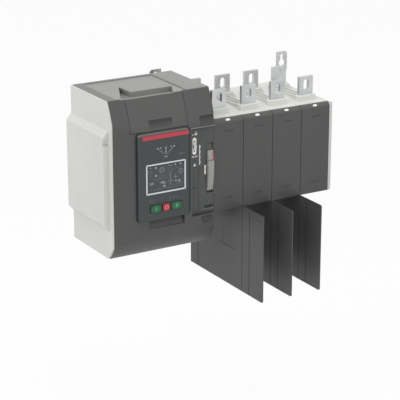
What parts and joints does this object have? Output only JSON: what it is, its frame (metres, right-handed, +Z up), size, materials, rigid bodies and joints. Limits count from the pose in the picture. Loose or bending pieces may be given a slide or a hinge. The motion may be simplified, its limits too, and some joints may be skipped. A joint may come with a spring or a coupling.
{
  "type": "automatic transfer switch",
  "caption": "Panel-mounted transfer switch: a pole stack with slotted terminal bars and hanging phase barriers, a rocker handle, and a controller module with display and keys.",
  "frame": {"origin": "on the mounting plane, behind the middle of the pole stack and level with the pole shaft", "axes": "+X to the right along the pole stack, +Y back into the mounting plane, +Z up towards the source terminals"},
  "size_m": [0.394, 0.204, 0.3165],
  "materials": {
    "pole_moulding": "light grey glass-filled moulding",
    "light_cover": "light grey fine-grained plastic",
    "dark_cover": "dark grey fine-grained plastic",
    "lid_cover": "mid grey fine-grained plastic",
    "panel_grey": "blue-grey satin plastic",
    "black_moulding": "near-black moulding",
    "barrier_board": "dark grey insulating sheet",
    "plated_terminal": "tin-plated copper",
    "copper_contact": "bare copper",
    "zinc_steel": "zinc-plated steel",
    "handle_grey": "mid-grey plastic",
    "white_trim": "white plastic",
    "red_trim": "red plastic",
    "green_key": "green key cap",
    "red_key": "red key cap",
    "display_glass": "clear window over a dark display",
    "circuit_board": "circuit board"
  },
  "bodies": {
    "switch": {"pole_housing_1": "pole_moulding", "pole_housing_2": "pole_moulding", "pole_housing_3": "pole_moulding", "pole_housing_4": "pole_moulding", "pole_front_1": "dark_cover", "pole_front_2": "dark_cover", "pole_front_3": "dark_cover", "pole_front_4": "dark_cover", "source_one_terminal_1": "plated_terminal", "source_one_terminal_2": "plated_terminal", "source_one_terminal_3": "plated_terminal", "source_one_terminal_4": "plated_terminal", "source_two_terminal_1": "plated_terminal", "source_two_terminal_2": "plated_terminal", "source_two_terminal_3": "plated_terminal", "source_two_terminal_4": "plated_terminal", "load_terminal_1": "plated_terminal", "load_terminal_2": "plated_terminal", "load_terminal_3": "plated_terminal", "load_terminal_4": "plated_terminal", "phase_barrier_1": "barrier_board", "phase_barrier_2": "barrier_board", "phase_barrier_3": "barrier_board", "arc_plates": "zinc_steel", "tie_rods": "zinc_steel", "marker_tabs": "white_trim", "right_end_cover": "light_cover", "mounting_bracket_left": "zinc_steel", "mounting_bracket_right": "zinc_steel", "bracket_screws": "zinc_steel", "mechanism_housing": "black_moulding", "mechanism_panel": "dark_cover", "solenoids": "zinc_steel", "selector_bezel": "white_trim", "module_base": "black_moulding", "control_board": "circuit_board", "front_cover": "dark_cover", "access_cover": "lid_cover", "side_cover": "light_cover", "hmi_body": "panel_grey", "display_frame": "handle_grey", "display_window": "display_glass", "accent_strip": "red_trim"},
    "rotor": {"moving_contact_1": "copper_contact", "moving_contact_2": "copper_contact", "moving_contact_3": "copper_contact", "moving_contact_4": "copper_contact", "pole_shaft": "black_moulding", "drive_crank": "zinc_steel", "position_indicator": "white_trim"},
    "handle": {"manual_handle": "handle_grey", "handle_shield": "dark_cover"},
    "latch": {"handle_latch": "red_trim"},
    "plunger_one": {"plunger_one": "zinc_steel"},
    "plunger_two": {"plunger_two": "zinc_steel"},
    "selector": {"selector_knob": "handle_grey"},
    "lock": {"lock_slide": "black_moulding"},
    "key_one": {"key_one": "green_key"},
    "key_off": {"key_off": "red_key"},
    "key_two": {"key_two": "green_key"}
  },
  "joints": [
    {"name": "pole_shaft_turn", "type": "hinge", "parent": "switch", "child": "rotor", "pos_m": [0, -0.0838, 0], "axis": [1, 0, 0], "range_deg": [-27, 27]},
    {"name": "plunger_one_slide", "type": "slide", "parent": "switch", "child": "plunger_one", "axis": [0, 0, 1], "range_m": [-0.0143, 0.0143]},
    {"name": "plunger_two_slide", "type": "slide", "parent": "switch", "child": "plunger_two", "axis": [0, 0, 1], "range_m": [-0.0143, 0.0143]},
    {"name": "handle_turn", "type": "hinge", "parent": "switch", "child": "handle", "pos_m": [0, -0.0198, 0], "axis": [1, 0, 0], "range_deg": [-9, 9]},
    {"name": "latch_slide", "type": "slide", "parent": "handle", "child": "latch", "axis": [0, 0.9908, -0.1352], "range_m": [0, 0.0012], "stiffness_N_per_m": 1500, "springref_m": -0.0004},
    {"name": "selector_slide", "type": "slide", "parent": "switch", "child": "selector", "axis": [0, 0, 1], "range_m": [-0.006, 0.006]},
    {"name": "lock_slide_out", "type": "slide", "parent": "switch", "child": "lock", "axis": [0, -1, 0], "range_m": [0, 0.008]},
    {"name": "key_one_press", "type": "slide", "parent": "switch", "child": "key_one", "axis": [0, 1, 0], "range_m": [0, 0.001], "stiffness_N_per_m": 1500, "springref_m": -0.0004},
    {"name": "key_off_press", "type": "slide", "parent": "switch", "child": "key_off", "axis": [0, 1, 0], "range_m": [0, 0.001], "stiffness_N_per_m": 1500, "springref_m": -0.0004},
    {"name": "key_two_press", "type": "slide", "parent": "switch", "child": "key_two", "axis": [0, 1, 0], "range_m": [0, 0.001], "stiffness_N_per_m": 1500, "springref_m": -0.0004}
  ],
  "couplings": [
    {"joint": "plunger_one_slide", "follows": "pole_shaft_turn", "m_per_rad": -0.030058},
    {"joint": "plunger_two_slide", "follows": "pole_shaft_turn", "m_per_rad": 0.030058},
    {"joint": "handle_turn", "follows": "pole_shaft_turn", "ratio": -0.33333}
  ]
}
